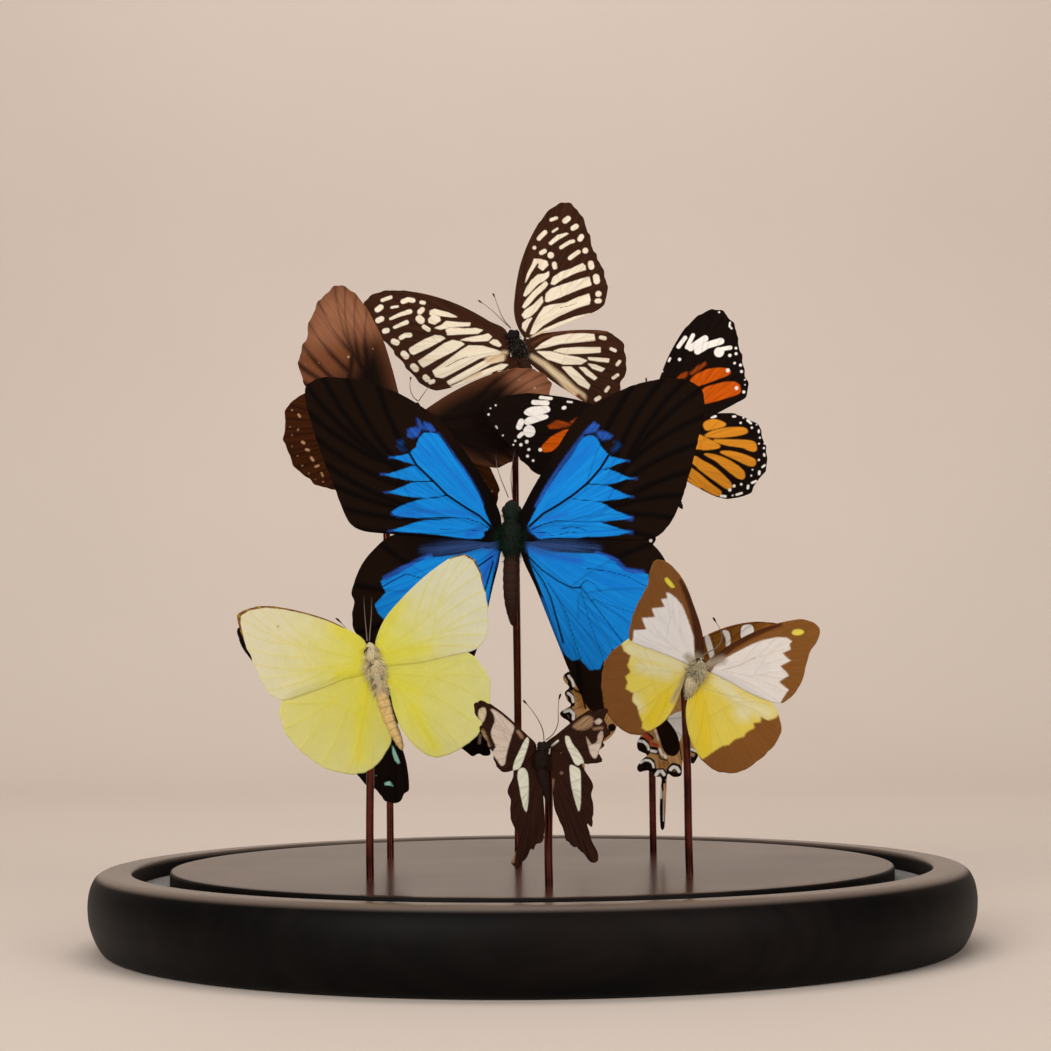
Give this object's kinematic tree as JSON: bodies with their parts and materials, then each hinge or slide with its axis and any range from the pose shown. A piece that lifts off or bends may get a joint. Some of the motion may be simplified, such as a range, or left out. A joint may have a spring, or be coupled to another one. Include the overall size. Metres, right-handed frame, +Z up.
{
  "type": "butterfly display on a dome base",
  "caption": "Dried butterflies with spread wings glued on thin metal rods of different heights, standing on a round dark wooden base with a ring groove for a dome.",
  "frame": {"origin": "centre of the wooden base, on the surface that it stands on", "axes": "+Z up along the rods, -Y towards the front, where the smallest butterfly stands and the wings show their upper sides, +X to the right seen from the front"},
  "size_m": [0.25, 0.25, 0.2311],
  "materials": {
    "stained_wood": "black stained, satin lacquer",
    "grey_flock": "short grey flock",
    "copper_rod": "drawn copper, bright along one side",
    "insect_body": "dried, hairy",
    "zebra_wing": "matt scales, cream marks on dark brown",
    "crow_wing": "matt scales, brown with a faint pink sheen",
    "tiger_wing": "matt scales, orange, black and white",
    "blue_wing": "satin scales, azure with a black border",
    "yellow_wing": "matt scales, lemon to cream",
    "pied_wing": "matt scales, white with brown tips and yellow hindwings",
    "dragontail_wing": "matt scales, brown with a pale band and clear panes",
    "swordtail_wing": "matt scales, tan and brown with white bars",
    "bluebottle_wing": "matt scales, black with pale green marks"
  },
  "bodies": {
    "root": {"base": "stained_wood", "groove_flock": "grey_flock", "rod_front_middle": "copper_rod", "rod_front_left": "copper_rod", "rod_front_right": "copper_rod", "rod_rear_left": "copper_rod", "rod_rear_right": "copper_rod", "rod_middle_low": "copper_rod", "rod_middle_high": "copper_rod", "zebra_body": "insect_body", "zebra_forewing_left": "zebra_wing", "zebra_forewing_right": "zebra_wing", "zebra_hindwing_left": "zebra_wing", "zebra_hindwing_right": "zebra_wing", "crow_body": "insect_body", "crow_forewing_left": "crow_wing", "crow_forewing_right": "crow_wing", "crow_hindwing_left": "crow_wing", "crow_hindwing_right": "crow_wing", "tiger_body": "insect_body", "tiger_forewing_left": "tiger_wing", "tiger_forewing_right": "tiger_wing", "tiger_hindwing_left": "tiger_wing", "tiger_hindwing_right": "tiger_wing", "blue_body": "insect_body", "blue_forewing_left": "blue_wing", "blue_forewing_right": "blue_wing", "blue_hindwing_left": "blue_wing", "blue_hindwing_right": "blue_wing", "yellow_body": "insect_body", "yellow_forewing_left": "yellow_wing", "yellow_forewing_right": "yellow_wing", "yellow_hindwing_left": "yellow_wing", "yellow_hindwing_right": "yellow_wing", "pied_body": "insect_body", "pied_forewing_left": "pied_wing", "pied_forewing_right": "pied_wing", "pied_hindwing_left": "pied_wing", "pied_hindwing_right": "pied_wing", "dragontail_body": "insect_body", "dragontail_forewing_left": "dragontail_wing", "dragontail_forewing_right": "dragontail_wing", "dragontail_hindwing_left": "dragontail_wing", "dragontail_hindwing_right": "dragontail_wing", "swordtail_body": "insect_body", "swordtail_forewing_left": "swordtail_wing", "swordtail_forewing_right": "swordtail_wing", "swordtail_hindwing_left": "swordtail_wing", "swordtail_hindwing_right": "swordtail_wing", "bluebottle_body": "insect_body", "bluebottle_forewing_left": "bluebottle_wing", "bluebottle_forewing_right": "bluebottle_wing", "bluebottle_hindwing_left": "bluebottle_wing", "bluebottle_hindwing_right": "bluebottle_wing"}
  },
  "joints": []
}
